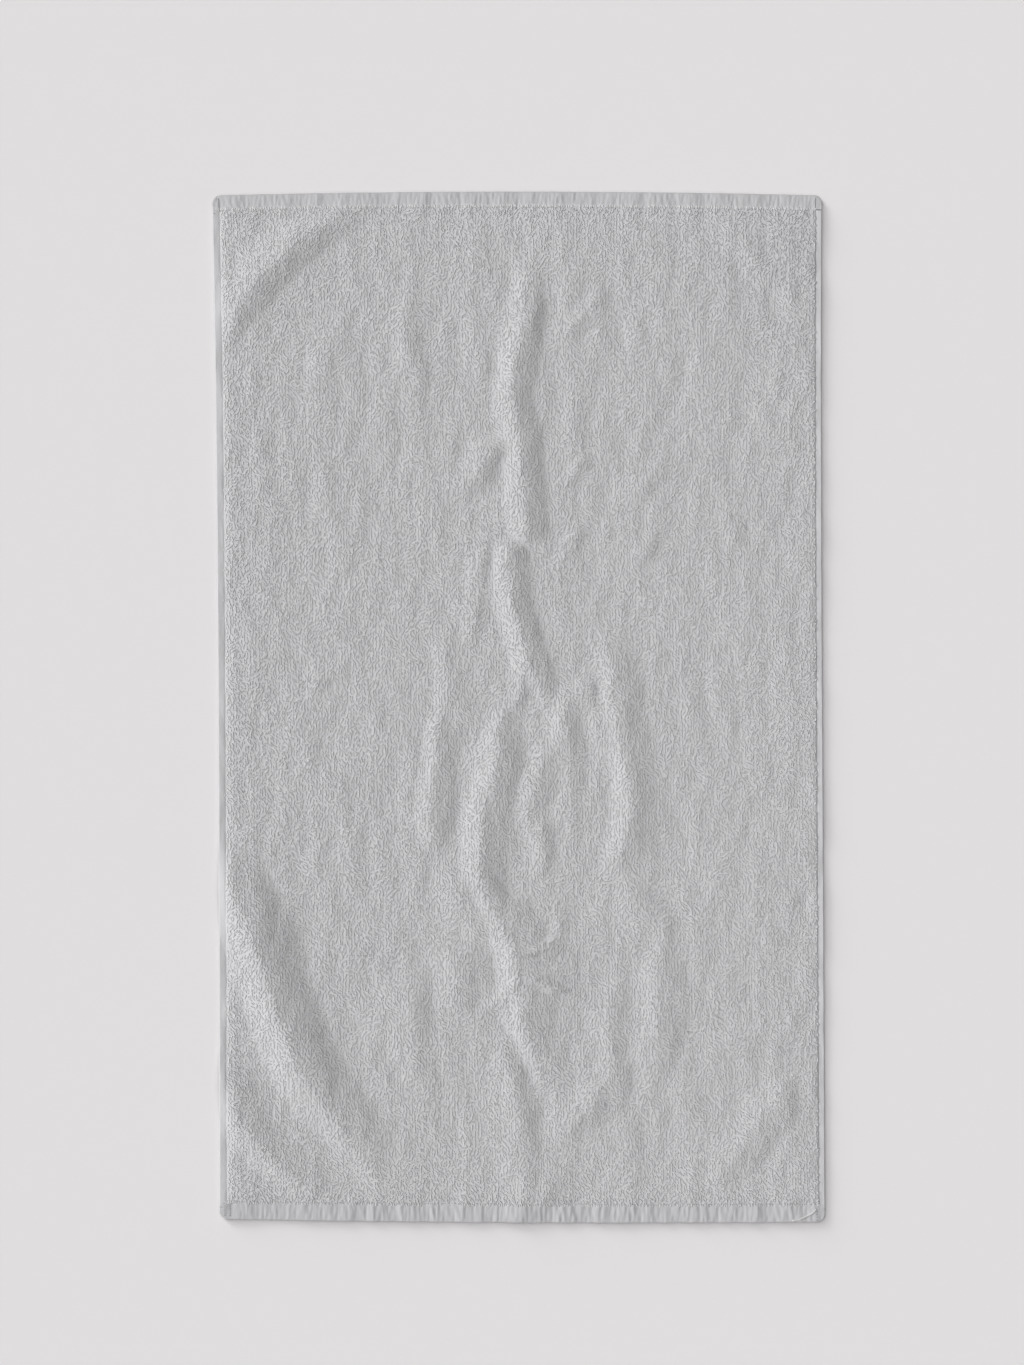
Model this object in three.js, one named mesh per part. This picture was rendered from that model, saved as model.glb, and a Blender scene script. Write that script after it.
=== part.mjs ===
// A terry bath mat laid out flat: one rectangular cloth with a turned hem on all four sides.
// Millimetres, +Z up. The origin is in the middle of the mat, on the floor that it lies on.
// The cloth is one closed sheet: its underside touches the floor except under the folds,
// which lift the cloth and leave a low hollow beneath them.

import * as THREE from 'three';

// The cloth
const clothWidth = 508; // across, between the side hems' outer edges
const clothLength = 864; // along Y, between the end hems' outer edges
const pileHeight = 4.3; // thickness of the looped field
const hemHeight = 3.1; // thickness of the turned hem at its middle
const edgeHeight = 1.6; // thickness at the very edge, where the hem is folded over
const grooveHeight = 2.6; // thickness along the stitching, which pulls the cloth in
const sideHem = 5.6; // width of the side hems
const topHem = 12; // width of the hem at the top end
const bottomHem = 14.5; // width of the hem at the bottom end
const edgeRound = 1.6; // how far in from the edge a hem reaches its full thickness
const shoulder = 4.5; // how far in from the stitching the loops reach their full height
const cornerRadius = 7;

// How it lies: a little skewed, with its ends bowed out in the middle
const skew = 4.5; // the top end sits this much further left than the bottom end
const flare = 2; // extra half width at the top corners
const topBow = 3.2; // how far the top corners are drawn in
const bottomBow = 1.8; // how far the bottom corners are drawn in
const bottomTilt = 1.2; // the bottom left corner is this much further in, the right one further out
const endReach = 3; // the power at which the flare and the bows grow towards the ends
const sideBow = 0.6; // half way along, both sides sit this much further right
const drawIn = 0.1; // the folds draw each side in by this much
const drawInMiddle = 0.4; // and by this much more half way along

// Where the lattice of the sheet is fine and where it is coarse, across the cloth
const fineFrom = -100;
const fineTo = 125;
const finePitch = 10;
const leftPitch = 14;
const rightPitch = 17;
const rowPitch = 18;

// The underside leaves the floor where a fold lifts the cloth by more than this
const contact = 0.4;

// Each fold runs down the cloth from top to foot (Y). crest holds its X at equal steps between
// them. rise is its height, left and right are the widths of its two slopes, and hang pushes the
// steep part of the right slope out towards its foot. fade is the length that each end dies away in.
const folds = [
  { name: 'spine upper', top: 392, foot: 130, crest: [4, 6, 1, -5, 2, 4, 7],
    rise: 5.3, left: 17, right: 20, hang: 2, fade: [75, 20] },
  { name: 'spine lower', top: 146, foot: -6, crest: [-5, -8, -6, 0, 7, 17, 27],
    rise: 5.1, left: 16, right: 18, hang: 2.2, fade: [20, 42] },
  { name: 'spine tongue', top: 62, foot: -12, crest: [6, 4, 1, -8],
    rise: 3.1, left: 12, right: 10, hang: 1, fade: [28, 22] },
  { name: 'left of the spine', top: 168, foot: 40, crest: [-24, -30, -36, -39],
    rise: 1.7, left: 18, right: 9, hang: 1, fade: [50, 40] },
  { name: 'short left branch', top: 230, foot: 166, crest: [-14, -33, -50],
    rise: 4.2, left: 17, right: 15, hang: 1.2, fade: [18, 26] },
  { name: 'right streak, high', top: 352, foot: 292, crest: [72, 58, 40, 30],
    rise: 1.9, left: 14, right: 16, hang: 1, fade: [22, 24] },
  { name: 'small crease, upper right', top: 210, foot: 165, crest: [120, 108, 94],
    rise: 1.6, left: 22, right: 13, hang: 1, fade: [18, 18] },
  { name: 'upper left swell', top: 352, foot: 240, crest: [-92, -95, -84, -84],
    rise: 1.8, left: 20, right: 14, hang: 1, fade: [30, 50] },
  { name: 'far left ridge', top: 12, foot: -130, crest: [-58, -66, -70, -73, -74, -71],
    rise: 3.4, left: 13, right: 23, hang: 1.2, fade: [42, 40] },
  { name: 'far left ridge, upper', top: 78, foot: -20, crest: [-56, -61, -61, -61],
    rise: 1.9, left: 14, right: 22, hang: 1.2, fade: [45, 30] },
  { name: 'middle left ridge', top: 14, foot: -178, crest: [-10, -16, -19, -28, -32, -32, -22],
    rise: 5.2, left: 18, right: 25, hang: 1.6, fade: [60, 30] },
  { name: 'left skirt', top: -132, foot: -204, crest: [-52, -44, -26],
    rise: 2.4, left: 28, right: 16, hang: 1, fade: [25, 25] },
  { name: 'middle ridge', top: 32, foot: -120, crest: [62, 41, 31, 17, 8, 15],
    rise: 3.1, left: 15, right: 26, hang: 1.3, fade: [24, 50] },
  { name: 'middle ridge, lower left', top: -80, foot: -140, crest: [18, 20, 21],
    rise: 1.8, left: 14, right: 13, hang: 1, fade: [24, 34] },
  { name: 'inner right ridge', top: -2, foot: -116, crest: [41, 43, 42, 44],
    rise: 1.9, left: 17, right: 16, hang: 1, fade: [12, 34] },
  { name: 'right ridge', top: 84, foot: -152, crest: [74, 76, 79, 83, 90, 93, 88, 82],
    rise: 4.8, left: 17, right: 29, hang: 1.1, fade: [90, 50] },
  { name: 'right ridge foot', top: -138, foot: -205, crest: [88, 98, 112, 122],
    rise: 2.2, left: 28, right: 22, hang: 1, fade: [25, 35] },
  { name: 'lower spine', top: -140, foot: -346, crest: [-31, -19, -3, 2, 7, 22, 42],
    rise: 5.2, left: 19, right: 34, hang: 1.1, fade: [34, 90] },
  { name: 'lower spine shoulder', top: -190, foot: -262, crest: [30, 28, 32],
    rise: 2.2, left: 14, right: 24, hang: 1, fade: [20, 30] },
  { name: 'lower left ridge', top: -205, foot: -352, crest: [-88, -90, -87, -81, -76],
    rise: 3.4, left: 26, right: 18, hang: 1.2, fade: [40, 75] },
  { name: 'lower left shoulder', top: -190, foot: -268, crest: [-50, -52, -52],
    rise: 2.6, left: 22, right: 34, hang: 1.1, fade: [25, 35] },
  { name: 'lower mid ridge', top: -262, foot: -440, crest: [-18, -12, -2, 1, 1, 4, -2],
    rise: 2.7, left: 19, right: 19, hang: 1.1, fade: [60, 12] },
  { name: 'lower right ridge', top: -188, foot: -338, crest: [116, 118, 119, 114, 108],
    rise: 3.1, left: 21, right: 24, hang: 1, fade: [42, 60] },
  { name: 'lower right shoulder', top: -215, foot: -318, crest: [86, 82, 78, 78],
    rise: 2, left: 20, right: 13, hang: 1.2, fade: [40, 30] },
  { name: 'lower right bulge', top: -300, foot: -385, crest: [82, 70, 46, 24],
    rise: 3.3, left: 24, right: 22, hang: 1, fade: [24, 30] },
  { name: 'top left corner', top: 426, foot: 280, crest: [-136, -176, -209, -231, -243, -249],
    rise: 5, left: 25, right: 18, hang: 1.2, fade: [30, 80] },
  { name: 'bottom left corner', top: -95, foot: -430, crest: [-246, -238, -219, -201, -175, -133, -108],
    rise: 10.2, left: 27, right: 39, hang: 1.5, fade: [90, 150] },
  { name: 'bottom left outer', top: -280, foot: -430, crest: [-250, -245, -228, -193, -152],
    rise: 4.6, left: 20, right: 26, hang: 1.2, fade: [45, 60] },
  { name: 'bottom right corner', top: -304, foot: -412, crest: [231, 210, 187, 165],
    rise: 3.4, left: 19, right: 31, hang: 1.8, fade: [34, 45] },
  { name: 'top right diagonal', top: 414, foot: 318, crest: [172, 211, 252],
    rise: 1.6, left: 11, right: 40, hang: 1, fade: [26, 30] },
];
const foldsRight = -1; // moves all the folds across the cloth
const foldsUp = 1.1; // moves all the folds along it
const creaseShare = 0.6; // share of a fold's height that falls in straight lines from its crest
const narrowing = 0.4; // how much narrower a fold is where it has died away

const halfWidth = clothWidth / 2;
const halfLength = clothLength / 2;

// A share from 0 to 1 with no sudden start or stop
function ease(share) {
  const s = THREE.MathUtils.clamp(share, 0, 1);
  return s * s * (3 - 2 * s);
}

// The crest as a smooth curve through its equally spaced X values: x at a share of the way down
function crestCurve(fold) {
  const step = (fold.top - fold.foot) / (fold.crest.length - 1);
  const points = fold.crest.map((x, i) => new THREE.Vector3(x, fold.top - i * step, 0));
  const curve = new THREE.CatmullRomCurve3(points, false, 'catmullrom', 0.5);
  return (share) => curve.getPoint(share);
}

// How high one fold lifts the cloth at (x, y)
function foldLift(fold, x, y) {
  if (y >= fold.top || y <= fold.foot) return 0;
  const share = (fold.top - y) / (fold.top - fold.foot);
  const here = fold.at(share);
  const ahead = fold.at(Math.min(1, share + 0.01));
  const behind = fold.at(Math.max(0, share - 0.01));
  const lean = Math.abs((ahead.x - behind.x) / (ahead.y - behind.y));
  const across = (x - here.x) / Math.hypot(1, lean);
  const [fadeTop, fadeFoot] = fold.fade;
  const life = ease(Math.min((fold.top - y) / fadeTop, (y - fold.foot) / fadeFoot));
  const width = (across < 0 ? fold.left : fold.right) * (1 - narrowing * (1 - life));
  const out = Math.min(1, Math.abs(across) / width);
  const rounded = 1 - ease(across < 0 ? out : out ** fold.hang);
  return fold.rise * life * (creaseShare * (1 - out) + (1 - creaseShare) * rounded);
}

// Folds that meet merge: the root of the sum of their squares, so that they never pile up
function liftAt(x, y) {
  return Math.hypot(...folds.map((fold) => foldLift(fold, x - foldsRight, y - foldsUp)));
}

// Distances in from the edge where a hem's cross-section bends
function hemStations(hem) {
  return [0, edgeRound, hem, hem + shoulder];
}

// Lattice lines from one edge of the cloth to the other, with the lines of the hem at each side
function latticeLines(half, lowHem, highHem, inner) {
  const low = hemStations(lowHem).map((inset) => inset - half);
  const high = hemStations(highHem).map((inset) => half - inset);
  return [...low, ...inner, ...high.reverse()];
}

// Equal steps between two lines, both left out, no longer than the pitch
function between(from, to, pitch) {
  const count = Math.ceil((to - from) / pitch);
  return Array.from({ length: count - 1 }, (_, i) => from + ((i + 1) * (to - from)) / count);
}

// Thickness from how far in from the edge a point is, for a hem of a given width
function thicknessAt(inset, hem) {
  const stations = hemStations(hem);
  const heights = [edgeHeight, hemHeight, grooveHeight, pileHeight];
  const next = stations.findIndex((station) => inset < station);
  if (next === -1) return pileHeight;
  const share = (inset - stations[next - 1]) / (stations[next] - stations[next - 1]);
  return THREE.MathUtils.lerp(heights[next - 1], heights[next], share);
}

// A point of the straight rectangle moved in on to the round corner
function roundCorner(x, y) {
  const cornerX = halfWidth - cornerRadius;
  const cornerY = halfLength - cornerRadius;
  const overX = Math.max(0, Math.abs(x) - cornerX);
  const overY = Math.max(0, Math.abs(y) - cornerY);
  if (overX === 0 || overY === 0) return [x, y];
  const scale = Math.max(overX, overY) / Math.hypot(overX, overY);
  return [Math.sign(x) * (cornerX + overX * scale), Math.sign(y) * (cornerY + overY * scale)];
}

// The rectangle as it lies on the floor: skewed, flared at the top and bowed at both ends
function laidOut(x, y) {
  const u = x / halfWidth;
  const v = y / halfLength;
  const nearTop = Math.max(0, v) ** endReach;
  const nearBottom = Math.max(0, -v) ** endReach;
  const bowed = nearBottom * (bottomBow * u * u - bottomTilt * u) - nearTop * topBow * u * u;
  const middle = 1 - v * v;
  const aside = nearTop * flare * u - (skew / 2) * v + sideBow * middle;
  return [x + aside - (drawIn + drawInMiddle * middle) * u, y + bowed];
}

// One closed sheet: a lattice of upper points, the same lattice of lower points, and a rim.
// It is moved so that its middle is over the origin.
function sheetGeometry(columns, rows, upperAndLower) {
  const across = columns.length;
  const upper = [];
  const lower = [];
  for (const y of rows) {
    for (const x of columns) {
      const [top, bottom] = upperAndLower(x, y);
      upper.push(top);
      lower.push(bottom);
    }
  }
  const points = [...upper, ...lower];
  const below = upper.length;
  const faces = [];
  const quad = (a, b, c, d) => {
    const straight = points[a].distanceTo(points[c]) <= points[b].distanceTo(points[d]);
    faces.push(...(straight ? [a, b, c, a, c, d] : [a, b, d, b, c, d]));
  };
  for (let row = 0; row + 1 < rows.length; row += 1) {
    for (let column = 0; column + 1 < across; column += 1) {
      const a = row * across + column;
      const [b, c, d] = [a + 1, a + across + 1, a + across];
      quad(a, b, c, d);
      quad(a + below, d + below, c + below, b + below);
    }
  }
  const last = (rows.length - 1) * across;
  const rim = [
    ...columns.map((_, i) => i),
    ...rows.slice(1).map((_, i) => (i + 2) * across - 1),
    ...columns.slice(1).map((_, i) => last + across - 2 - i),
    ...rows.slice(1, -1).map((_, i) => last - (i + 1) * across),
  ];
  rim.forEach((from, i) => {
    const to = rim[(i + 1) % rim.length];
    quad(from, from + below, to + below, to);
  });
  const geometry = new THREE.BufferGeometry();
  const coordinates = points.flatMap((point) => point.toArray());
  geometry.setAttribute('position', new THREE.Float32BufferAttribute(coordinates, 3));
  geometry.setIndex(faces);
  geometry.computeVertexNormals();
  geometry.computeBoundingBox();
  const middle = geometry.boundingBox.getCenter(new THREE.Vector3());
  return geometry.translate(-middle.x, -middle.y, 0);
}

function terryMat() {
  for (const fold of folds) fold.at = crestCurve(fold);
  const columns = latticeLines(halfWidth, sideHem, sideHem, [
    ...between(-(halfWidth - sideHem - shoulder), fineFrom, leftPitch),
    fineFrom,
    ...between(fineFrom, fineTo, finePitch),
    fineTo,
    ...between(fineTo, halfWidth - sideHem - shoulder, rightPitch),
  ]);
  const lowest = bottomHem + shoulder - halfLength;
  const highest = halfLength - topHem - shoulder;
  const rows = latticeLines(halfLength, bottomHem, topHem, between(lowest, highest, rowPitch));
  return sheetGeometry(columns, rows, (x, y) => {
    const thickness = Math.min(
      thicknessAt(halfWidth - Math.abs(x), sideHem),
      thicknessAt(halfLength - Math.abs(y), y > 0 ? topHem : bottomHem),
    );
    const [laidX, laidY] = laidOut(...roundCorner(x, y));
    const lift = liftAt(laidX, laidY);
    const floorGap = Math.max(0, lift - contact);
    return [
      new THREE.Vector3(laidX, laidY, thickness + lift),
      new THREE.Vector3(laidX, laidY, floorGap),
    ];
  });
}

const terry = new THREE.MeshStandardMaterial({ color: 0xb5b4b6, roughness: 0.95, metalness: 0 });
const mat = new THREE.Mesh(terryMat(), terry);
mat.name = 'terry_mat';

const group = new THREE.Group();
group.add(mat);

export default group;
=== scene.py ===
# A light grey terry bath mat, laid out flat on a pale floor and seen from straight above.
# Every size in a dictionary is in millimetres and every mesh is in metres.

import math
import bpy
import numpy as np
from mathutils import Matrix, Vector


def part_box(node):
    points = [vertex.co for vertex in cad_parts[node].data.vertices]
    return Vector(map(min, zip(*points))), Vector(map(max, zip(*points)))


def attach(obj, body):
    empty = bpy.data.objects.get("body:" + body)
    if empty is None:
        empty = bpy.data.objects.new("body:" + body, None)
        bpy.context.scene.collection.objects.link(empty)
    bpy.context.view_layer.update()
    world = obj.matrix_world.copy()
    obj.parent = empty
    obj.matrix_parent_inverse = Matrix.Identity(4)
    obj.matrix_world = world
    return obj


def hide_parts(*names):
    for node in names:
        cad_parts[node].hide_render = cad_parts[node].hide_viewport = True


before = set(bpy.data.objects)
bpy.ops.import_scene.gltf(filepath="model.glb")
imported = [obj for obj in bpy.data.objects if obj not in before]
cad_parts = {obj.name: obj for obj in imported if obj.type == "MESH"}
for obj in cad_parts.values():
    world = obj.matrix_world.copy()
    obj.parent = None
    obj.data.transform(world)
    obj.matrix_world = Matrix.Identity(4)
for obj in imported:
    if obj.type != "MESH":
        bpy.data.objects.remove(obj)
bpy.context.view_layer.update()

mm = 0.001  # metres
node = "terry_mat"


# Curves and soft unevenness, on whole arrays

def smooth(share):
    # 3s^2 - 2s^3, with s held between 0 and 1
    s = np.clip(share, 0.0, 1.0)
    return s * s * (3.0 - 2.0 * s)


def throughPoints(values, share):
    # the smooth curve through equally spaced values, read at a share of the way along them:
    # between two values it is the Catmull-Rom cubic of the four nearest, the end ones mirrored out
    v = np.asarray(values, float)
    v = np.concatenate([[2 * v[0] - v[1]], v, [2 * v[-1] - v[-2]]])
    place = np.clip(share, 0.0, 1.0) * (len(values) - 1)
    i = np.minimum(place.astype(int), len(values) - 2)
    t = place - i
    a, b, c, d = v[i], v[i + 1], v[i + 2], v[i + 3]
    return b + 0.5 * t * (c - a + t * (2 * a - 5 * b + 4 * c - d + t * (3 * (b - c) + d - a)))


def ripple(x, y, length, seed, stretch=1.0, count=14):
    # the sum of plane waves of about one length in directions all round, each at its own phase,
    # scaled so that its mean square is 1; stretch makes the pattern longer along Y
    rng = np.random.default_rng(seed)
    turn = (np.arange(count) + rng.uniform(0, 1, count)) * math.pi / count
    pace = 2 * math.pi / (length * rng.uniform(0.7, 1.45, count))
    phase = rng.uniform(0, 2 * math.pi, count)
    total = np.zeros(np.broadcast(x, y).shape)
    for k in range(count):
        total += np.sin(pace[k] * (np.cos(turn[k]) * x + np.sin(turn[k]) * y / stretch) + phase[k])
    return total * math.sqrt(2 / count)


# The cloth: its size, how it lies and its folds

cloth = {
    "width": 508, "length": 864, "corner": 7,
    "sideHem": 5.6, "topHem": 12, "bottomHem": 14.5,  # widths of the turned hems
    "pile": 4.3, "hem": 3.1, "edge": 0.9,  # thicknesses
    "rim": 0.9,  # how far in the rounded rim reaches the hem's thickness
    # beside each hem the pile starts at a thickness and is full after a distance
    "leftSeam": (2.3, 6.5), "rightSeam": (4.1, 1.5), "endSeam": (3.3, 6.0),
    "skew": 4.5, "flare": 2.0, "topBow": 3.2, "bottomBow": 1.8, "bottomTilt": 1.2, "endReach": 3,
    "sideBow": 0.6,  # both sides bow to the right half way along
    "drawIn": 0.1, "drawInMiddle": 0.4,  # the folds draw each side in, and more half way along
    "foldMove": (-1.0, 1.1), "foldSize": 0.9965,  # moves and sizes the whole pattern of folds
    "contact": 0.4,  # the underside leaves the floor where it is lifted by more than this
    "creaseShare": 0.6,  # how much of a fold's section is a straight slope, the rest being smooth
    "narrowing": 0.4,  # the share of its width that a fold loses where it dies away
}

# Each fold runs down the cloth from top to foot. crest is its X at equal steps between them, rise
# its height, left and right the widths of its slopes, hang pushes the steep part of the right
# slope outwards, and fade is the length in which each end dies away.
foldColumns = ("name", "top", "foot", "crest", "rise", "left", "right", "hang", "fade")
foldTable = [
    ("spine upper", 392, 130, [4, 6, 1, -5, 2, 4, 7], 5.3, 17, 20, 2.0, (75, 20)),
    ("spine lower", 146, -6, [-5, -8, -6, 0, 7, 17, 27], 5.1, 16, 18, 2.2, (20, 42)),
    ("spine tongue", 62, -12, [6, 4, 1, -8], 3.1, 12, 10, 1.0, (28, 22)),
    ("tongue right", 34, -10, [20, 21, 24], 1.6, 9, 11, 1.4, (16, 16)),
    ("left of the spine", 168, 40, [-24, -30, -36, -39], 1.7, 18, 9, 1.0, (50, 40)),
    ("short left branch", 230, 166, [-14, -33, -50], 3.5, 20, 15, 1.2, (18, 26)),
    ("right of the spine, high", 370, 325, [44, 42, 40], 1.2, 14, 13, 1.0, (18, 20)),
    ("right streak, high", 352, 292, [70, 57, 39, 30], 1.9, 14, 15, 1.0, (18, 24)),
    ("right of the spine, low", 290, 185, [44, 46, 42], 1.0, 13, 18, 1.0, (40, 40)),
    ("right streak, middle", 218, 172, [60, 46, 32], 1.8, 9, 11, 1.0, (16, 18)),
    ("right streak, low", 165, 120, [56, 48, 36], 1.1, 9, 12, 1.0, (18, 18)),
    ("small crease, upper right", 210, 165, [120, 108, 94], 1.6, 22, 13, 1.0, (18, 18)),
    ("small crease, lower right", 152, 108, [118, 106, 94], 1.2, 20, 12, 1.0, (18, 18)),
    ("upper left swell", 352, 240, [-92, -95, -84, -84], 1.8, 20, 14, 1.0, (30, 50)),
    ("upper left swell, outer", 325, 270, [-160, -160, -165], 1.1, 20, 16, 1.0, (22, 24)),
    ("far left ridge", 12, -130, [-58, -66, -70, -73, -74, -71], 3.4, 13, 23, 1.2, (42, 40)),
    ("far left ridge, upper", 78, -20, [-56, -61, -61, -61], 1.9, 14, 22, 1.2, (45, 30)),
    ("middle left ridge", 14, -178, [-10, -16, -19, -28, -32, -32, -22], 5.2, 18, 25, 1.6, (60, 30)),
    ("middle left branch", 4, -58, [-8, -22, -37], 2.6, 11, 12, 1.0, (16, 16)),
    ("left skirt", -132, -204, [-52, -44, -26], 2.4, 28, 16, 1.0, (25, 25)),
    ("middle ridge", 32, -120, [62, 41, 31, 17, 8, 15], 3.1, 15, 26, 1.3, (24, 50)),
    ("middle ridge, lower left", -80, -140, [18, 20, 21], 1.8, 14, 13, 1.0, (24, 34)),
    ("inner right ridge", -2, -116, [41, 43, 42, 44], 1.9, 17, 16, 1.0, (12, 34)),
    ("right ridge", 84, -152, [74, 76, 79, 83, 90, 93, 88, 82], 4.8, 17, 29, 1.1, (90, 50)),
    ("right ridge foot", -138, -205, [88, 98, 112, 122], 2.2, 28, 22, 1.0, (25, 35)),
    ("right ridge link", 28, -46, [57, 66, 78], 2.0, 15, 12, 1.0, (20, 22)),
    ("lower spine", -140, -346, [-31, -19, -3, 2, 7, 22, 42], 5.2, 19, 34, 1.1, (34, 90)),
    ("lower spine shoulder", -190, -262, [30, 28, 32], 2.2, 14, 24, 1.0, (20, 30)),
    ("lower left ridge", -205, -352, [-88, -90, -87, -81, -76], 3.0, 26, 20, 1.2, (40, 75)),
    ("lower left shoulder", -190, -268, [-50, -52, -52], 2.6, 22, 34, 1.1, (25, 35)),
    ("lower mid ridge", -262, -440, [-18, -12, -2, 1, 1, 4, -2], 2.7, 19, 19, 1.1, (60, 12)),
    ("foot right", -384, -430, [22, 24, 20], 1.8, 14, 16, 1.0, (18, 18)),
    ("lower right ridge", -188, -338, [116, 118, 119, 114, 108], 3.1, 21, 24, 1.0, (42, 60)),
    ("lower right shoulder", -215, -318, [86, 82, 78, 78], 2.0, 20, 13, 1.2, (40, 30)),
    ("lower right bulge", -290, -374, [84, 73, 52, 32], 2.9, 24, 22, 1.0, (24, 30)),
    ("lower right swell", -262, -312, [185, 178, 170], 1.5, 28, 38, 1.0, (22, 24)),
    ("top left corner", 426, 280, [-136, -176, -209, -231, -243, -249], 5.9, 26, 22, 1.2, (30, 80)),
    ("bottom left corner", -95, -430, [-246, -238, -219, -201, -175, -133, -108],
     9.6, 26, 38, 1.6, (90, 150)),
    ("bottom left outer", -280, -430, [-250, -245, -228, -193, -152], 4.6, 20, 26, 1.2, (45, 60)),
    ("left crease", 44, 6, [-146, -160, -182], 1.3, 20, 12, 1.0, (16, 16)),
    ("left dimple edge", -46, -100, [-160, -156, -150], 1.2, 12, 18, 1.0, (20, 24)),
    ("bottom right corner", -304, -412, [231, 210, 187, 165], 3.3, 24, 24, 1.6, (34, 45)),
    ("top right diagonal", 414, 318, [172, 211, 252], 0.9, 11, 40, 1.0, (26, 30)),
]
folds = [dict(zip(foldColumns, row)) for row in foldTable]

# Small creases are ridges, or with a rise below zero troughs, that are added on top of the folds
creaseTable = [
    ("top right trough", 402, 312, [160, 194, 232], -0.6, 20, 10, 1.0, (24, 24)),
    ("star, upper arm", -192, -214, [36, 20, 2], 1.7, 6, 8, 1.0, (7, 6)),
    ("star, lower arm", -221, -245, [6, 24, 42], 1.5, 6, 8, 1.0, (7, 8)),
    ("star, right trough", -204, -226, [42, 30, 20], -0.8, 10, 8, 1.0, (9, 9)),
    ("left root of the lower spine", -226, -270, [0, -16, -42], 1.3, 12, 12, 1.0, (12, 16)),
    ("below the branch", -128, -162, [-26, -16, -4], -1.0, 7, 6, 1.0, (12, 12)),
    ("right streak's trough", 186, 160, [40, 30, 21], -0.8, 7, 6, 1.0, (9, 9)),
    ("beside the lower spine", -262, -318, [-8, 2, 12], -0.9, 6, 6, 1.0, (16, 16)),
    ("ripple, lower right", -236, -262, [48, 58, 66], 0.8, 9, 8, 1.0, (10, 10)),
    ("ripple, low middle", -112, -150, [30, 22, 12], 0.8, 8, 8, 1.0, (14, 14)),
]
creases = [dict(zip(foldColumns, row)) for row in creaseTable]


def foldLift(fold, x, y):
    # rise times the life of the fold, times a profile across it that is part straight slope and
    # part smooth slope; across is the distance from the crest, square to it
    reach = fold["top"] - fold["foot"]
    share = (fold["top"] - y) / reach
    step = 0.01  # share of the reach over which the crest's slope is taken
    crest = throughPoints(fold["crest"], share)
    slope = throughPoints(fold["crest"], share + step) - throughPoints(fold["crest"], share - step)
    slope /= 2 * step * reach
    across = (x - crest) / np.sqrt(1 + slope ** 2)
    fadeTop, fadeFoot = fold["fade"]
    life = smooth(np.minimum((fold["top"] - y) / fadeTop, (y - fold["foot"]) / fadeFoot))
    width = np.where(across < 0, fold["left"], fold["right"])
    width = width * (1 - cloth["narrowing"] * (1 - life))
    out = np.clip(np.abs(across) / width, 0, 1)
    rounded = 1 - smooth(np.where(across < 0, out, out ** fold["hang"]))
    straight = cloth["creaseShare"]
    return fold["rise"] * life * (straight * (1 - out) + (1 - straight) * rounded)


def liftOf(some, x, y, power):
    # the sum of the lifts of some folds, each raised to a power
    total = np.zeros(np.broadcast(x, y).shape)
    for fold in some:
        inside = (y < fold["top"]) & (y > fold["foot"])
        if inside.any():
            total[inside] += foldLift(fold, x[inside], y[inside]) ** power
    return total


def foldedLift(x, y):
    # folds that meet merge: the root of the sum of their squares; the small creases are added
    x = (x - cloth["foldMove"][0]) / cloth["foldSize"]
    y = (y - cloth["foldMove"][1]) / cloth["foldSize"]
    return np.sqrt(liftOf(folds, x, y, 2)) + liftOf(creases, x, y, 1)


def roundCorner(a, b):
    # a point of the straight rectangle, moved in on to the round corner
    overA = np.maximum(0, np.abs(a) - (cloth["width"] / 2 - cloth["corner"]))
    overB = np.maximum(0, np.abs(b) - (cloth["length"] / 2 - cloth["corner"]))
    scale = np.maximum(overA, overB) / np.maximum(np.hypot(overA, overB), 1e-9)
    both = (overA > 0) & (overB > 0)
    a = np.where(both, np.sign(a) * (np.abs(a) - overA * (1 - scale)), a)
    b = np.where(both, np.sign(b) * (np.abs(b) - overB * (1 - scale)), b)
    return a, b


def laidOut(a, b):
    # the rectangle as it lies: skewed, flared at the top and bowed at both ends
    a, b = roundCorner(a, b)
    u = a / (cloth["width"] / 2)
    v = b / (cloth["length"] / 2)
    nearTop = np.maximum(0, v) ** cloth["endReach"]
    nearBottom = np.maximum(0, -v) ** cloth["endReach"]
    bow = nearBottom * (cloth["bottomBow"] * u * u - cloth["bottomTilt"] * u)
    bow = bow - nearTop * cloth["topBow"] * u * u
    middle = 1 - v * v
    aside = nearTop * cloth["flare"] * u - cloth["skew"] / 2 * v + cloth["sideBow"] * middle
    aside = aside - u * (cloth["drawIn"] + cloth["drawInMiddle"] * middle)
    return a + aside, b + bow


def middleOfOutline():
    # half way between the outermost points of the laid-out edge, which the solid is centred on
    t = np.linspace(-1, 1, 801)
    one = np.ones(len(t))
    a = np.concatenate([t, t, -one, one]) * cloth["width"] / 2
    b = np.concatenate([-one, one, t, t]) * cloth["length"] / 2
    x, y = laidOut(a, b)
    return (x.min() + x.max()) / 2, (y.min() + y.max()) / 2


boxLow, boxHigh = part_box(node)
outlineX, outlineY = middleOfOutline()
shiftX = (boxLow.x + boxHigh.x) / 2 / mm - outlineX
shiftY = (boxLow.y + boxHigh.y) / 2 / mm - outlineY


def fromEdges(a, b):
    # how far in from the side edge and from the end edge
    return cloth["width"] / 2 - np.abs(a), cloth["length"] / 2 - np.abs(b)


def endHem(b):
    # the width of the end hem on that half of the cloth
    return np.where(b > 0, cloth["topHem"], cloth["bottomHem"])


def rimmed(inset):
    # a quarter of an ellipse from the edge's thickness up to the hem's
    out = 1 - np.clip(inset / cloth["rim"], 0, 1)
    return cloth["edge"] + (cloth["hem"] - cloth["edge"]) * np.sqrt(1 - out ** 2)


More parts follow.
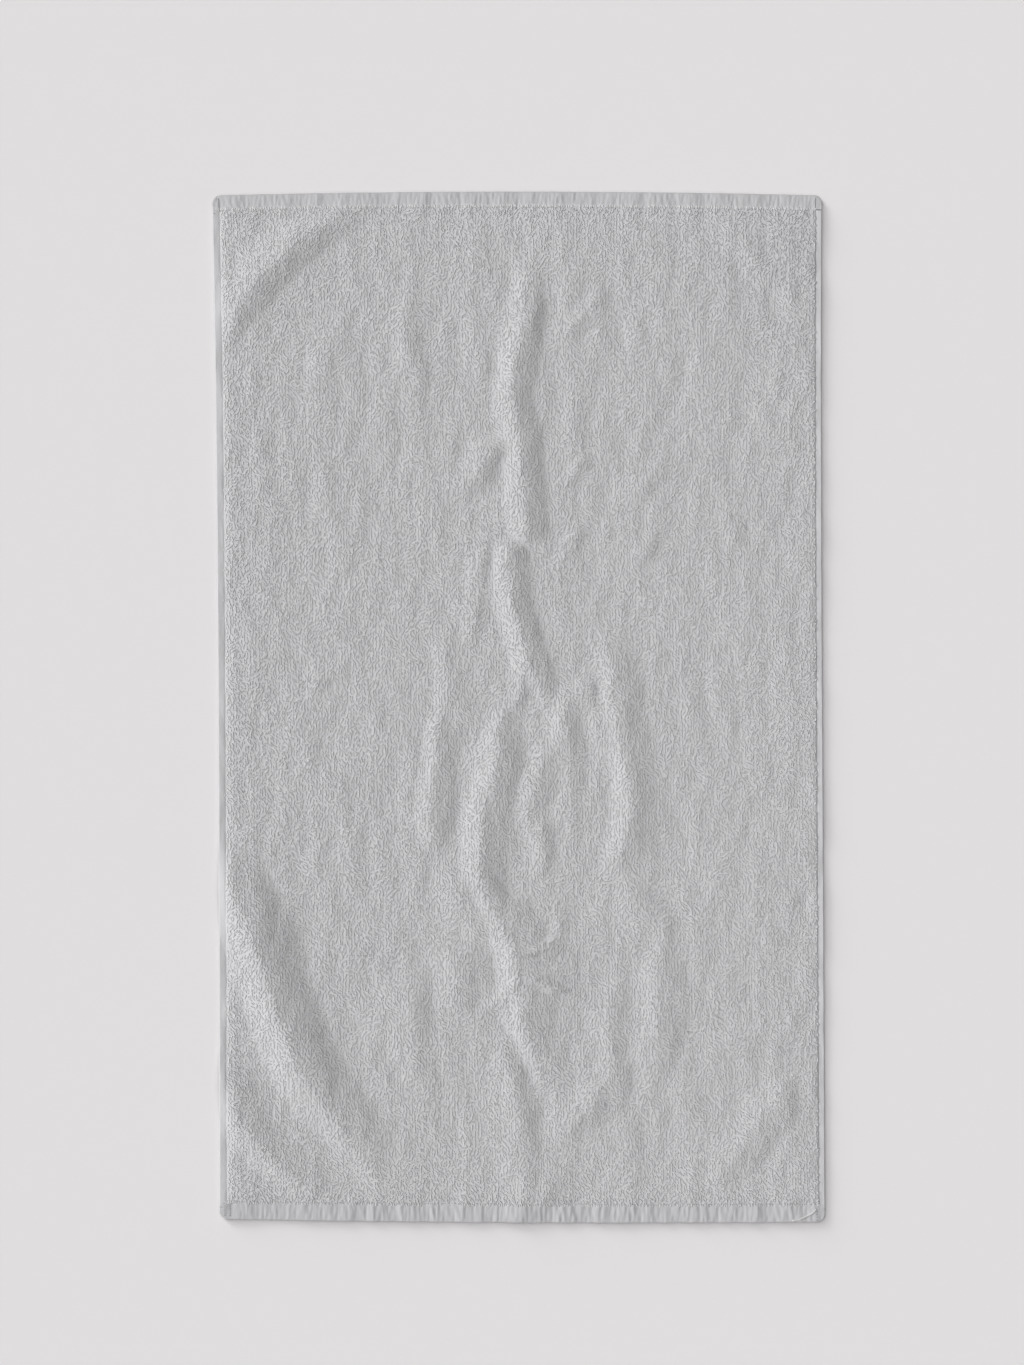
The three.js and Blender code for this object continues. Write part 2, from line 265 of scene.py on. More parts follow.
def pileFrom(inset, hem, seam):
    # past the hem the pile swells from the seam's thickness p0 to the full p by
    # p0 + (p - p0)(1 - (1 - s)^2)
    start, reach = seam
    s = np.clip((inset - hem) / reach, 0, 1)
    return np.where(inset < hem, rimmed(inset), start + (cloth["pile"] - start) * (1 - (1 - s) ** 2))


def thickness(a, b):
    # the lesser of the sections across the near side and the near end
    side, end = fromEdges(a, b)
    left = pileFrom(side, cloth["sideHem"], cloth["leftSeam"])
    right = pileFrom(side, cloth["sideHem"], cloth["rightSeam"])
    return np.minimum(np.where(a < 0, left, right), pileFrom(end, endHem(b), cloth["endSeam"]))


def floorGap(lift):
    # how far the underside is off the floor
    return np.maximum(0, lift - cloth["contact"])


# Meshes

def addPiece(name, points, faces, material):
    # a mesh from points in millimetres and faces that all have as many sides
    mesh = bpy.data.meshes.new(name)
    mesh.vertices.add(len(points))
    mesh.vertices.foreach_set("co", (np.asarray(points) * mm).astype(np.float32).ravel())
    sides = faces.shape[1]
    mesh.loops.add(faces.size)
    mesh.loops.foreach_set("vertex_index", faces.astype(np.int32).ravel())
    mesh.polygons.add(len(faces))
    mesh.polygons.foreach_set("loop_start", np.arange(0, faces.size, sides, dtype=np.int32))
    mesh.update(calc_edges=True)
    mesh.shade_smooth()
    mesh.materials.append(material)
    piece = bpy.data.objects.new(name, mesh)
    bpy.context.collection.objects.link(piece)
    return piece


def addTone(piece, values):
    # how light each point is within its material: a random tone, with painted light and shade added where
    # the callers paint it
    layer = piece.data.attributes.new("tone", "FLOAT", "POINT")
    layer.data.foreach_set("value", np.asarray(values, np.float32))


def joined(parts):
    # several meshes as one: the faces of each count on from the points of those before it
    points, faces, tones = zip(*parts)
    before = np.cumsum([0] + [len(some) for some in points[:-1]])
    faces = np.concatenate([some + count for some, count in zip(faces, before)])
    return np.concatenate(points), faces, np.concatenate(tones)


def triangles(quads):
    # each face of four points as two of three
    return np.concatenate([quads[:, [0, 1, 2]], quads[:, [0, 2, 3]]])


def gridQuads(rows, columns):
    # the faces between the points of a grid that is numbered row by row
    i = np.arange(rows * columns).reshape(rows, columns)
    return np.stack([i[:-1, :-1], i[:-1, 1:], i[1:, 1:], i[1:, :-1]], -1).reshape(-1, 4)


def closedSheet(x, y, top, bottom):
    # an upper grid of points and a lower one under it, with a band of faces round the rim;
    # rows run up the cloth (+Y) and columns to the right (+X)
    rows, columns = x.shape
    points = np.concatenate([np.stack([x, y, z], -1).reshape(-1, 3) for z in (top, bottom)])
    quads = gridQuads(rows, columns)
    i = np.arange(rows * columns).reshape(rows, columns)
    rim = np.concatenate([i[0, :-1], i[:-1, -1], i[-1, :0:-1], i[:0:-1, 0]])
    after = np.roll(rim, -1)
    below = rows * columns
    band = np.stack([rim, rim + below, after + below, after], -1)
    return points, np.concatenate([quads, quads[:, ::-1] + below, band])


def spacedLines(start, stop, pitch):
    # evenly spaced from start to stop, as near to the pitch as fits and no wider
    return np.linspace(start, stop, int(math.ceil((stop - start) / pitch)) + 1)


# Materials

class Wire:
    # a socket in a material; + - and * on it add Math nodes

    def __init__(self, tree, socket=None):
        self.tree = tree
        self.socket = socket

    def add(self, kind, settings, sockets, output=0):
        made = self.tree.nodes.new(kind)
        for name, value in settings.items():
            setattr(made, name, value)
        for name, value in sockets.items():
            if isinstance(value, Wire):
                self.tree.links.new(value.socket, made.inputs[name])
            else:
                made.inputs[name].default_value = value
        return Wire(self.tree, made.outputs[output])

    def maths(self, operation, *values):
        return self.add("ShaderNodeMath", {"operation": operation}, dict(enumerate(values)))

    def __add__(self, other):
        return self.maths("ADD", self, other)

    def __sub__(self, other):
        return self.maths("SUBTRACT", self, other)

    def __rsub__(self, other):
        return self.maths("SUBTRACT", other, self)

    def __mul__(self, other):
        return self.maths("MULTIPLY", self, other)

    __radd__ = __add__
    __rmul__ = __mul__

    def noise(self, vector, scale, detail=2.0, roughness=0.5):
        return self.add("ShaderNodeTexNoise", {"noise_dimensions": "3D"},
                        {"Vector": vector, "Scale": scale, "Detail": detail, "Roughness": roughness})

    def mix(self, share, first, second):
        # a colour between two colours, or past either of them; 6 and 7 are the colour sockets
        return self.add("ShaderNodeMix", {"data_type": "RGBA", "clamp_factor": False},
                        {0: share, 6: first, 7: second}, 2)


def cottonMaterial(name, looks):
    # base colour between a shaded and a lit tone of grey, by large and small mottling and the tone
    # attribute, which holds random tone and painted light and shade; the bump is small noise drawn out
    # along the yarn
    material = bpy.data.materials.new(name)
    material.use_nodes = True
    tree = material.node_tree
    shader = tree.nodes["Principled BSDF"]
    wire = Wire(tree)
    place = wire.add("ShaderNodeTexCoord", {}, {}, "Object")
    broad = wire.noise(place, 1 / (looks["broadPatch"] * mm), detail=1.0)
    small = wire.noise(place, 1 / (looks["smallPatch"] * mm))
    share = (broad - 0.5) * looks["broadShare"] + (small - 0.5) * looks["smallShare"] + 0.5
    if looks.get("tone"):
        tone = wire.add("ShaderNodeAttribute", {"attribute_name": "tone"}, {}, "Fac")
        share = share + (tone - 0.5) * looks["tone"]
    colour = wire.mix(share, (*looks["shaded"], 1), (*looks["lit"], 1))
    tree.links.new(colour.socket, shader.inputs["Base Color"])
    shader.inputs["Roughness"].default_value = looks["roughness"]
    shader.inputs["Sheen Weight"].default_value = looks["sheen"]
    shader.inputs["Sheen Roughness"].default_value = looks["sheenRoughness"]
    shader.inputs["Specular IOR Level"].default_value = looks["specular"]
    shader.inputs["Subsurface Weight"].default_value = looks.get("softness", 0)
    shader.inputs["Subsurface Radius"].default_value = (1, 1, 1)
    shader.inputs["Subsurface Scale"].default_value = looks.get("softDepth", 1) * mm
    if looks.get("bump"):
        stretched = wire.add("ShaderNodeMapping", {}, {"Vector": place, "Scale": looks["bumpStretch"]})
        height = wire.noise(stretched, 1 / (looks["bumpSize"] * mm), roughness=0.6)
        bump = wire.add("ShaderNodeBump", {}, {"Height": height, "Distance": looks["bump"] * mm})
        tree.links.new(bump.socket, shader.inputs["Normal"])
    return material


# patches, bump sizes and the depth of softness are in millimetres
grey = {"shaded": (0.455, 0.45, 0.465), "lit": (0.622, 0.617, 0.627)}
yarnLooks = {**grey, "broadPatch": 60, "smallPatch": 9, "broadShare": 0.15, "smallShare": 0.1,
             "tone": 0.15, "roughness": 0.92, "sheen": 0.25, "sheenRoughness": 0.5, "specular": 0.2,
             "softness": 0.5, "softDepth": 1.2}
groundLooks = {**grey, "broadPatch": 60, "smallPatch": 9, "broadShare": 0.15, "smallShare": 0.1,
               "roughness": 0.95, "sheen": 0.2, "sheenRoughness": 0.5, "specular": 0.2,
               "bump": 0.8, "bumpSize": 3.0, "bumpStretch": (1.0, 0.5, 1.0)}
hemGrey = {"shaded": (0.43, 0.425, 0.437), "lit": (0.56, 0.555, 0.567)}
hemLooks = {**hemGrey, "broadPatch": 50, "smallPatch": 6, "broadShare": 0.2, "smallShare": 0.25,
            "tone": 0.5, "roughness": 0.9, "sheen": 0.2, "sheenRoughness": 0.5, "specular": 0.2,
            "bump": 0.25, "bumpSize": 1.6, "bumpStretch": (1.0, 0.3, 1.0)}
# the corner seam cords take their colour from here; a low tone makes them dark, painted shade for the
# seam lines
seamShadeGrey = {"shaded": (0.2, 0.195, 0.205), "lit": (0.62, 0.615, 0.62)}
seamShadeLooks = {**seamShadeGrey, "broadPatch": 50, "smallPatch": 3, "broadShare": 0.05, "smallShare": 0.1,
             "tone": 1.0, "roughness": 0.9, "sheen": 0.1, "sheenRoughness": 0.5, "specular": 0.2}


# The ground cloth that the loops stand on

ground = {
    "across": 4.0, "along": 5.0,  # pitch of the lattice
    "underHem": 2.0,  # how far it reaches in under the hems
    "belowPile": 0.75,  # how far it lies below the loops' crests
    "leastThick": 1.2,
    # soft waves that run along the cloth: height, length and how much longer they are along it
    "waves": [(0.2, 45, 3.0), (0.22, 19, 2.8), (0.11, 9.5, 3.0)],
    "seed": 4,
}


def swell(x, y):
    # the sum of the soft waves
    return sum(height * ripple(x, y, length, ground["seed"] + k, stretch)
               for k, (height, length, stretch) in enumerate(ground["waves"]))


def surfaceHeight(a, b, x, y):
    # height of the loops' crests over the floor: thickness, folds and soft waves
    return thickness(a, b) + foldedLift(x, y) + swell(x, y)


def makeGround(material):
    # a sheet below the crests of the loops, that reaches in under the hems on all four sides
    left = cloth["width"] / 2 - cloth["sideHem"] + ground["underHem"]
    foot = cloth["length"] / 2 - cloth["bottomHem"] + ground["underHem"]
    top = cloth["length"] / 2 - cloth["topHem"] + ground["underHem"]
    columns = spacedLines(-left, left, ground["across"])
    a, b = np.meshgrid(columns, spacedLines(-foot, top, ground["along"]))
    x, y = laidOut(a, b)
    top = surfaceHeight(a, b, x, y) - ground["belowPile"]
    gap = floorGap(foldedLift(x, y))
    top = np.maximum(top, gap + ground["leastThick"])
    points, faces = closedSheet(x + shiftX, y + shiftY, top, gap)
    return addPiece("terry_ground", points, triangles(faces), material)


# The turned hems: flat bands of cloth, rounded at their outer edge and drawn in at the seam

hems = {
    # the lines across a hem, each as far in from the edge as its number says; those of the end
    # hems are for a hem as wide as insetsFor, and inside rimInset they are stretched to the real
    # width; pastSeam is how far past the seam the last three lie
    "endInsets": [0, 0.15, 0.4, 0.8, 1.3, 2.2, 3.4, 4.6, 5.8, 7, 8.2, 9.4, 10.5, 11.5],
    "insetsFor": 12, "rimInset": 1.3, "pastSeam": (0, 0.7, 1.8),
    "sideInsets": [0, 0.15, 0.4, 0.8, 1.3, 2.2, 3.2, 4.2, 4.9, 5.3, 5.6, 6.0, 7.2],
    "sideEnds": (10, 8),  # the side hems start and stop this far in, under the end hems
    "leastShare": 0.8,  # share of its height that a hem keeps where it is lifted
    # the underside is turned up at the very edge: up to an inset, and how high
    "turnUp": [(0.1, 0.7), (0.35, 0.2)],
    "dip": -0.25, "dipWidth": 2.5,  # the end hems rise a little towards their seam
    "leftDip": 0.1, "rightDip": 0.75, "sideDipWidth": 0.9,
    "lean": 0.09,  # the side hems slope down to their seam by this much a millimetre
    "tuck": 0.7, "tuckWidth": 1.6,  # past the seam they go down under the pile
    # the hems' tones are painted light: the side hems are painted lightest, as though lit more from the
    # left, and the top hem lighter than the foot's
    "topTone": 0.32, "bottomTone": 0.16, "sideTone": 1.0,
    # the painted highlight along the seam: its tone at each end, its width and blur, and how much of
    # the tone is even and how much comes and goes
    "topRow": 1.3, "bottomRow": 0.3, "rowWidth": 1.9, "rowBlur": 1.2,
    "rowEven": 0.8, "rowUneven": 0.35, "rowLength": 3.6, "rowSeed": 61,
    "pitch": 1.0, "sidePitch": 3.0,
    "rib": 0.15, "ribLength": 2.9, "ribStretch": 6.0, "ribSeed": 31,
    "sideWave": 0.05, "sideWaveLength": 14, "sideWaveStretch": 2.0, "sideWaveFrom": 2, "sideSeed": 51,
    # the gathers of the end hems: depth, step and seed, and the least and most of what varies
    "topPleat": 0.3, "bottomPleat": 0.85, "pleatStep": 10.5, "pleatSpread": (0.55, 1.45), "seed": 7,
    "slant": (-2.5, 4.5), "tall": (0.3, 1.0), "wide": (3.0, 7.0), "steep": (0.9, 2.0),
    # ribs and gathers grow in from the edge and the side ends, and stop before the tuck
    "fromEdge": 2.5, "fromSide": 6, "beforeTuck": (1.0, 2.0),
}


def hemStrip(a, b, height, low):
    # a closed strip that follows the folds and the waves
    x, y = laidOut(a, b)
    lift = foldedLift(x, y) + swell(x, y)
    gap = floorGap(foldedLift(x, y))
    top = np.maximum(height + lift, gap + hems["leastShare"] * height)
    return closedSheet(x + shiftX, y + shiftY, top, gap + low)


def pleats(a, inset, hem, seed, depth):
    # slanting gathers at uneven steps, each a long slope up from the left and a short one down;
    # they narrow to the outer edge and are deepest at the seam
    rng = np.random.default_rng(seed)
    total = np.zeros(a.shape)
    share = np.clip(inset / hem, 0, 1)
    at = -cloth["width"] / 2 + rng.uniform(0, hems["pleatStep"])
    while at < cloth["width"] / 2:
        slant = rng.uniform(*hems["slant"])
        tall = depth * rng.uniform(*hems["tall"])
        wide = rng.uniform(*hems["wide"]) * (0.5 + 0.5 * share)
        steep = rng.uniform(*hems["steep"])
        away = a - at - slant * (1 - share)
        out = np.clip(np.where(away < 0, -away / wide, away / steep), 0, 1)
        total += tall * (1 - out) * (0.5 + 0.5 * share)
        at += hems["pleatStep"] * rng.uniform(*hems["pleatSpread"])
    return total


def seamed(inset, hem, dip, width):
    # the rimmed section, less a smooth dip towards the seam and a tuck past it
    dipped = dip * smooth((inset - hem + width) / width)
    tucked = hems["tuck"] * smooth((inset - hem) / hems["tuckWidth"])
    return rimmed(inset) - dipped - tucked


def bottomOf(*insets):
    # the underside turns up a little at the very edge
    inset = np.minimum.reduce(insets)
    heights = [height for _, height in hems["turnUp"]]
    return np.select([inset < until for until, _ in hems["turnUp"]], heights, 0)


def bothSides(tone):
    # one tone for each point of the upper grid, and again for the lower one's
    return np.tile(tone.ravel(), 2)


def makeEndHem(end):
    # the gathered section along one end; along the seam it is painted unevenly lighter, a painted
    # highlight
    halfWidth, halfLength = cloth["width"] / 2, cloth["length"] / 2
    which = "top" if end > 0 else "bottom"
    hem = cloth[which + "Hem"]
    drawn, rim = hems["insetsFor"], hems["rimInset"]
    wider = np.interp(hems["endInsets"], [0, rim, drawn], [1, 1, hem / drawn])
    insets = np.concatenate([np.array(hems["endInsets"]) * wider, hem + np.array(hems["pastSeam"])])
    nearEnd = np.array(hems["endInsets"][1:4])
    lines = spacedLines(-halfWidth, halfWidth, hems["pitch"])
    lines = np.unique(np.concatenate([lines, nearEnd - halfWidth, halfWidth - nearEnd]))
    inset, a = np.meshgrid(insets, lines, indexing="ij")
    if end > 0:
        inset, a = inset[::-1], a[::-1]
    side = halfWidth - np.abs(a)
    height = np.minimum(seamed(inset, hem, hems["dip"], hems["dipWidth"]), rimmed(side))
    gathers = pleats(a, inset, hem, hems["seed"] + end, hems[which + "Pleat"])
    ribs = ripple(a, inset, hems["ribLength"], hems["ribSeed"] + end, hems["ribStretch"])
    past, soft = hems["beforeTuck"]
    inner = smooth(inset / hems["fromEdge"]) * smooth((hem + past - inset) / soft)
    inner = inner * smooth(side / hems["fromSide"])
    height = height + (gathers + hems["rib"] * ribs) * inner
    points, quads = hemStrip(a, end * (halfLength - inset), height, bottomOf(inset, side))
    # painted highlight: the seam is painted lighter in uneven dashes, more at the top end than the foot
    highlightDashes = ripple(a, 0 * a, hems["rowLength"], hems["rowSeed"] + end)
    row = smooth((inset - hem + hems["rowWidth"]) / hems["rowBlur"])
    row = row * (hems["rowEven"] + hems["rowUneven"] * highlightDashes)
    return points, quads, bothSides(hems[which + "Tone"] + hems[which + "Row"] * row)


def makeSideHem(side):
    # the plain section along one side, sloping down to its seam and faintly waved
    halfWidth, halfLength = cloth["width"] / 2, cloth["length"] / 2
    foot, top = hems["sideEnds"]
    lines = spacedLines(-halfLength + foot, halfLength - top, hems["sidePitch"])
    b, inset = np.meshgrid(lines, hems["sideInsets"], indexing="ij")
    if side > 0:
        inset, b = inset[:, ::-1], b[:, ::-1]
    a = side * (halfWidth - inset)
    dip = hems["leftDip"] if side < 0 else hems["rightDip"]
    height = seamed(inset, cloth["sideHem"], dip, hems["sideDipWidth"])
    height = height + hems["lean"] * (0.5 * cloth["sideHem"] - inset) * smooth(inset / cloth["rim"])
    wave = ripple(a, b, hems["sideWaveLength"], hems["sideSeed"] + side, hems["sideWaveStretch"])
    height = height + hems["sideWave"] * wave * smooth(inset / hems["sideWaveFrom"])
    points, quads = hemStrip(a, b, height, bottomOf(inset))
    # painted light: the side hems get the lightest tone
    return points, quads, bothSides(np.full(a.shape, hems["sideTone"]))


def makeHems(material):
    points, quads, tones = joined([makeEndHem(1), makeEndHem(-1), makeSideHem(-1), makeSideHem(1)])
    piece = addPiece("terry_hems", points, triangles(quads), material)
    addTone(piece, tones)
    return piece


# The corners, where the side hems pass under the end hems: seam lines, stitches and a crease

corners = {
    # which side and end (-1 or 1), points as insets from the side and from the end, radius, tone
    # and the length of the stitches, or nothing for a plain line
    # the low tones make the seam cords dark, painted shade along the seam lines; the crease's high tone
    # keeps it as light as the cloth
    "lines": [
        (-1, 1, [(5.2, 2.2), (5.6, 7), (6.3, 14.5)], 0.35, 0.25, 0),
        (-1, 1, [(0.8, 15.4), (3.0, 15.8)], 0.35, 0.2, 0),
        (1, 1, [(5.8, 12.4), (3.0, 12.6), (0.5, 12.6)], 0.4, 0.05, 0),
        (1, 1, [(6.0, 2.0), (6.2, 11.5)], 0.3, 0.2, 0),
        (-1, -1, [(4.2, 2.4), (4.0, 15.2)], 0.4, 0.0, 2.0),
        (-1, -1, [(9.2, 3.2), (9.0, 14.2)], 0.4, 0.0, 2.0),
        (1, -1, [(7.0, 1.2), (7.2, 6.0), (6.9, 10.5)], 0.45, 0.0, 2.4),
        (1, -1, [(28, 1.4), (20, 3.4), (12, 7.2), (7.6, 11.2)], 0.9, 0.9, 0),
    ],
    "step": 0.6, "fewest": 4,  # about how far apart the rings are, and the fewest in one stitch
    "sides": 6, "tip": 0.02, "above": 0.1,
    "gap": 0.35,  # the share of a stitch that is left bare
}


def cordAlong(x, y, z, radius):
    # rings round a line, square to it on the level; the first and last ring close to a point
    wayX, wayY = np.gradient(x), np.gradient(y)
    size = np.hypot(wayX, wayY)
    sides = corners["sides"]
    around = 2 * math.pi * np.arange(sides) / sides
    width = np.full(len(x), radius)
    width[[0, -1]] = corners["tip"]
    aside = width[:, None] * np.cos(around)
    ringX = x[:, None] - (wayY / size)[:, None] * aside
    ringY = y[:, None] + (wayX / size)[:, None] * aside
    ringZ = z[:, None] + width[:, None] * np.sin(around)
    points = np.stack([ringX, ringY, ringZ], -1).reshape(-1, 3)
    i = np.arange(len(x) * sides).reshape(len(x), sides)
    after = np.roll(i, -1, 1)
    faces = np.stack([i[:-1], i[1:], after[1:], after[:-1]], -1).reshape(-1, 4)
    points = np.concatenate([points, [[x[0], y[0], z[0]], [x[-1], y[-1], z[-1]]]])
    first, last = len(points) - 2, len(points) - 1
    ends = [np.stack([np.full(sides, first), i[0], after[0]], -1),
            np.stack([np.full(sides, last), after[-1], i[-1]], -1)]
    return points, np.concatenate([triangles(faces), *ends])


def makeCorners(material):
    # a seam is one cord along its line, or as many short cords as it has stitches
    parts = []
    for side, end, line, radius, tone, stitch in corners["lines"]:
        insets = np.array(line, float)
        length = np.hypot(*np.diff(insets, axis=0).T).sum()
        steps = int(math.ceil(length / stitch)) if stitch else 1
        for k in range(steps):
            until = (k + 1 - corners["gap"]) / steps if stitch else 1
            rings = max(corners["fewest"], int(length / steps / corners["step"]))
            share = np.linspace(k / steps, until, rings)
            fromSide, fromEnd = throughPoints(insets[:, 0], share), throughPoints(insets[:, 1], share)
            a = side * (cloth["width"] / 2 - fromSide)
            b = end * (cloth["length"] / 2 - fromEnd)
            x, y = laidOut(a, b)
            z = rimmed(np.minimum(fromSide, fromEnd)) + foldedLift(x, y) + swell(x, y) + corners["above"]
            cordPoints, cordFaces = cordAlong(x + shiftX, y + shiftY, z, radius)
            parts.append((cordPoints, cordFaces, np.full(len(cordPoints), tone)))
    points, faces, tones = joined(parts)
    piece = addPiece("terry_corner_seams", points, faces, material)
    addTone(piece, tones)
    return piece


# The loops of the pile: short curled strands of yarn, each a closed spindle of three sides

loops = {
    "across": 2.4, "along": 2.6,  # pitch of the staggered rows
    # how far from the seams the rows stop, how much further on the right, and how far past that
    # a loop moved off its place may be
    "fromSide": 0.15, "rightGap": 0.55, "fromEnd": 1.0, "overSide": 0.4, "overEnd": 0.8,
    "jitter": 0.34,  # share of the pitch that a loop may sit off its place
    "length": 4.1, "lengthSpread": 0.2,
    "thick": 1.25, "thickSpread": 0.15,
    "rise": 0.48, "sink": 0.4, "riseSpread": 0.12,  # the crest over the ground, the ends under it
    "archPower": 0.7,  # below 1 the arch is flatter on top
    "flat": 0.6, "settle": 0.2,  # height of the section to its width, and how far it sits down
    "curl": 0.6, "twist": 0.3,  # how far a loop bends sideways, one way and to and fro
    # degrees off straight up the cloth: broad and small swirls, and each loop for itself
    "lean": 20, "leanLength": 34, "leanStretch": 1.4, "smallLean": 15, "smallLeanLength": 9,
    "looseLean": 21, "seamLean": 0.4,  # share of it all in the rows at the seams
    "leanSeed": 21,
    "stations": [0, 0.3, 0.7, 1], "fullness": [0, 1, 1, 0],
    # the loops that hang over the end seams; their tone is a painted highlight, stronger at the top end,
    # and the loops beside the side hems are painted lighter as though the pile's edge there caught the
    # lamps
    "edgeStep": 1.9, "edgeJitter": 0.35, "edgeLift": 0.4, "edgeIn": 0.7, "seamHighlightTone": (6.0, 2.5),
    "besideHighlightTone": (5.5, 3.5), "besideReach": (9, 4),  # and those along the left and right are lighter
    # patches of painted shade and light, where the pile is made darker or lighter: X, Y, reach and tone
    "paintedShadeAndLight": [(238, 395, 75, -2.8), (195, 350, 66, -1.5), (150, 388, 60, -0.9), (228, 290, 70, -1.2),
                (232, 180, 70, -0.8), (25, -228, 36, -1.3), (-46, -226, 26, -1.0), (-118, -212, 30, -0.8),
                (-95, -250, 34, 0.9), (-25, -45, 20, 0.8), (-35, -178, 24, 1.2), (-36, -110, 24, 1.0),
                (62, -4, 18, 0.9), (-4, -205, 20, 0.9), (228, -395, 40, -0.8), (-205, 400, 46, 1.2)],
    "sides": 3, "bands": 5, "seed": 11,
}


def loopPlaces():
    # staggered rows over the field, each place moved a little at random, and after them a row
    # along each end seam; the last value says which loops are in those two rows
    rng = np.random.default_rng(loops["seed"])
    left = -(cloth["width"] / 2 - cloth["sideHem"] - loops["fromSide"])
    right = -left - loops["rightGap"]
    foot = -cloth["length"] / 2 + cloth["bottomHem"] + loops["fromEnd"]
    top = cloth["length"] / 2 - cloth["topHem"] - loops["fromEnd"]
    columns = spacedLines(left, right, loops["across"])
    rows = spacedLines(foot, top, loops["along"])
    a, b = np.meshgrid(columns, rows)
    b = b + loops["along"] * 0.5 * (np.arange(a.shape[1]) % 2)
    a = a + rng.uniform(-1, 1, a.shape) * loops["jitter"] * loops["across"]
    b = b + rng.uniform(-1, 1, a.shape) * loops["jitter"] * loops["along"]
    keep = (a > left - loops["overSide"]) & (a < right + loops["overSide"])
    keep &= (b > foot - loops["overEnd"]) & (b < top + loops["overEnd"])
    a, b = a[keep], b[keep]
    edgeA = spacedLines(left, right, loops["edgeStep"])
    seam = np.repeat([top + loops["edgeIn"], foot - loops["edgeIn"]], len(edgeA))
    edgeA = np.tile(edgeA, 2) + rng.uniform(-1, 1, len(seam)) * loops["edgeJitter"] * loops["edgeStep"]
    atSeam = np.concatenate([np.zeros(len(a), bool), np.ones(len(edgeA), bool)])
    return np.concatenate([a, edgeA]), np.concatenate([b, seam]), atSeam, rng


def spread(rng, count, amount, least, most):
    # 1 for each loop, more or less by an amount on the bell curve, kept between least and most
    return (1 + amount * rng.normal(0, 1, count)).clip(least, most)


